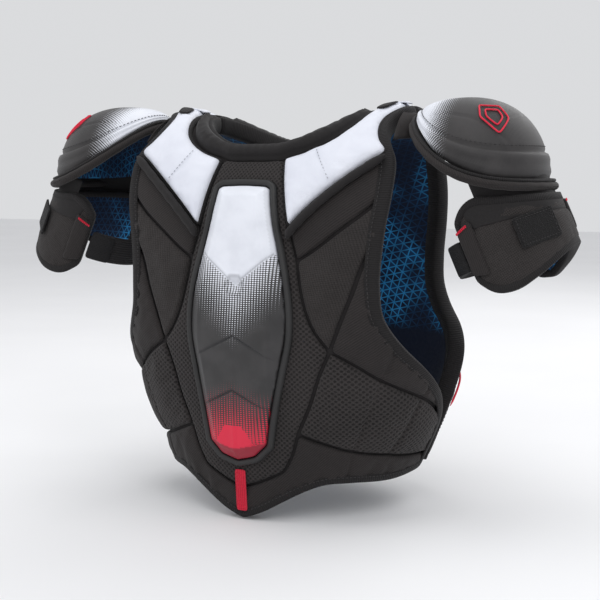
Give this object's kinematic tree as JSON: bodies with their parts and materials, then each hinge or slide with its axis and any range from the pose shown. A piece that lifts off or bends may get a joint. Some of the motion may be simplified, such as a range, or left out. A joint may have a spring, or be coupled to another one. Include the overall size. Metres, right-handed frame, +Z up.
{
  "type": "ice hockey shoulder pads",
  "caption": "Padded ice hockey shoulder pads with hinged chest and back panels, lifting shoulder caps, swinging arm guards and hook-and-loop straps.",
  "frame": {"origin": "midway between the shoulders, level with the points beside the neck where the lining rests on the wearer", "axes": "+Z up, -Y to the front (chest), +X to the wearer's left"},
  "size_m": [0.6154, 0.2602, 0.4173],
  "materials": {
    "foam_cover": "matt knit over closed-cell foam",
    "mesh_lining": "matt open mesh",
    "perforated_knit": "matt perforated spacer knit",
    "fabric": "matt fine fabric",
    "weave": "matt basket weave",
    "neoprene": "smooth matt neoprene",
    "white_leather": "white coated leather, semi-matt",
    "white_plastic": "white moulded plastic with a printed fade to black",
    "black_plastic": "black moulded plastic, satin",
    "rubber": "soft matt rubber",
    "red_webbing": "red ribbed webbing",
    "patterned_lining": "navy lining with a bright blue triangle lattice",
    "loop_fastener": "looped pile",
    "hook_fastener": "hook pile",
    "elastic": "ribbed elastic webbing",
    "webbing": "flat webbing"
  },
  "bodies": {
    "chest": {"chest_foam": "foam_cover", "chest_lining": "mesh_lining", "centre_mesh_panel": "perforated_knit", "belly_panel": "fabric", "collar_front": "neoprene", "breastbone_frame": "rubber", "breastbone_core": "foam_cover", "breastbone_plate": "white_plastic", "hem_tab": "red_webbing", "yoke_front_left": "white_leather", "yoke_front_right": "white_leather", "shoulder_strip_left": "fabric", "shoulder_strip_right": "fabric", "pectoral_pad_left": "weave", "pectoral_pad_right": "weave", "side_pad_left": "fabric", "side_pad_right": "fabric", "flank_pad_left": "perforated_knit", "flank_pad_right": "perforated_knit", "strap_landing_left": "loop_fastener", "strap_landing_right": "loop_fastener", "yoke_roll_left": "neoprene", "yoke_roll_right": "neoprene", "cap_strap_left": "webbing", "cap_strap_right": "webbing"},
    "back_panel": {"back_foam": "foam_cover", "back_lining": "mesh_lining", "collar_back": "neoprene", "spine_mesh_panel": "perforated_knit", "kidney_pad": "fabric", "spine_core": "foam_cover", "spine_plate": "black_plastic", "yoke_back_left": "white_leather", "yoke_back_right": "white_leather", "blade_pad_left": "weave", "blade_pad_right": "weave", "wing_pad_left": "fabric", "wing_pad_right": "fabric"},
    "cap_left": {"cap_shell_left": "black_plastic", "cap_foam_left": "patterned_lining", "cap_edge_left": "fabric"},
    "arm_guard_left": {"arm_guard_pad_left": "fabric", "arm_lining_left": "patterned_lining", "arm_channel_left": "fabric", "loop_patch_left": "loop_fastener"},
    "arm_strap_left": {"arm_elastic_left": "elastic", "arm_hook_tab_left": "hook_fastener"},
    "side_strap_left": {"side_elastic_left": "elastic", "side_hook_tab_left": "hook_fastener"},
    "cap_right": {"cap_shell_right": "black_plastic", "cap_foam_right": "patterned_lining", "cap_edge_right": "fabric"},
    "arm_guard_right": {"arm_guard_pad_right": "fabric", "arm_lining_right": "patterned_lining", "arm_channel_right": "fabric", "loop_patch_right": "loop_fastener"},
    "arm_strap_right": {"arm_elastic_right": "elastic", "arm_hook_tab_right": "hook_fastener"},
    "side_strap_right": {"side_elastic_right": "elastic", "side_hook_tab_right": "hook_fastener"}
  },
  "joints": [
    {"name": "back_panel_hinge", "type": "hinge", "parent": "chest", "child": "back_panel", "pos_m": [0, 0, 0.03], "axis": [1, 0, 0], "range_deg": [0, 15]},
    {"name": "cap_left_lift", "type": "hinge", "parent": "chest", "child": "cap_left", "pos_m": [0.1435, -0.011, 0.02], "axis": [0, -1, 0], "range_deg": [0, 45]},
    {"name": "arm_guard_left_swing", "type": "hinge", "parent": "cap_left", "child": "arm_guard_left", "pos_m": [0.27666, -0.011, -0.03293], "axis": [0, -1, 0], "range_deg": [0, 35]},
    {"name": "arm_strap_left_open", "type": "hinge", "parent": "arm_guard_left", "child": "arm_strap_left", "pos_m": [0.23127, 0.04929, -0.11334], "axis": [0.4067, 0, -0.9135], "range_deg": [0, 60]},
    {"name": "side_strap_left_open", "type": "hinge", "parent": "back_panel", "child": "side_strap_left", "pos_m": [0.13534, 0.02692, -0.2949], "axis": [0, 0, -1], "range_deg": [0, 40]},
    {"name": "cap_right_lift", "type": "hinge", "parent": "chest", "child": "cap_right", "pos_m": [-0.1435, -0.011, 0.02], "axis": [0, 1, 0], "range_deg": [0, 45]},
    {"name": "arm_guard_right_swing", "type": "hinge", "parent": "cap_right", "child": "arm_guard_right", "pos_m": [-0.27666, -0.011, -0.03293], "axis": [0, 1, 0], "range_deg": [0, 35]},
    {"name": "arm_strap_right_open", "type": "hinge", "parent": "arm_guard_right", "child": "arm_strap_right", "pos_m": [-0.23127, 0.04929, -0.11334], "axis": [0.4067, 0, 0.9135], "range_deg": [0, 60]},
    {"name": "side_strap_right_open", "type": "hinge", "parent": "back_panel", "child": "side_strap_right", "pos_m": [-0.13534, 0.02692, -0.2949], "axis": [0, 0, 1], "range_deg": [0, 40]}
  ]
}
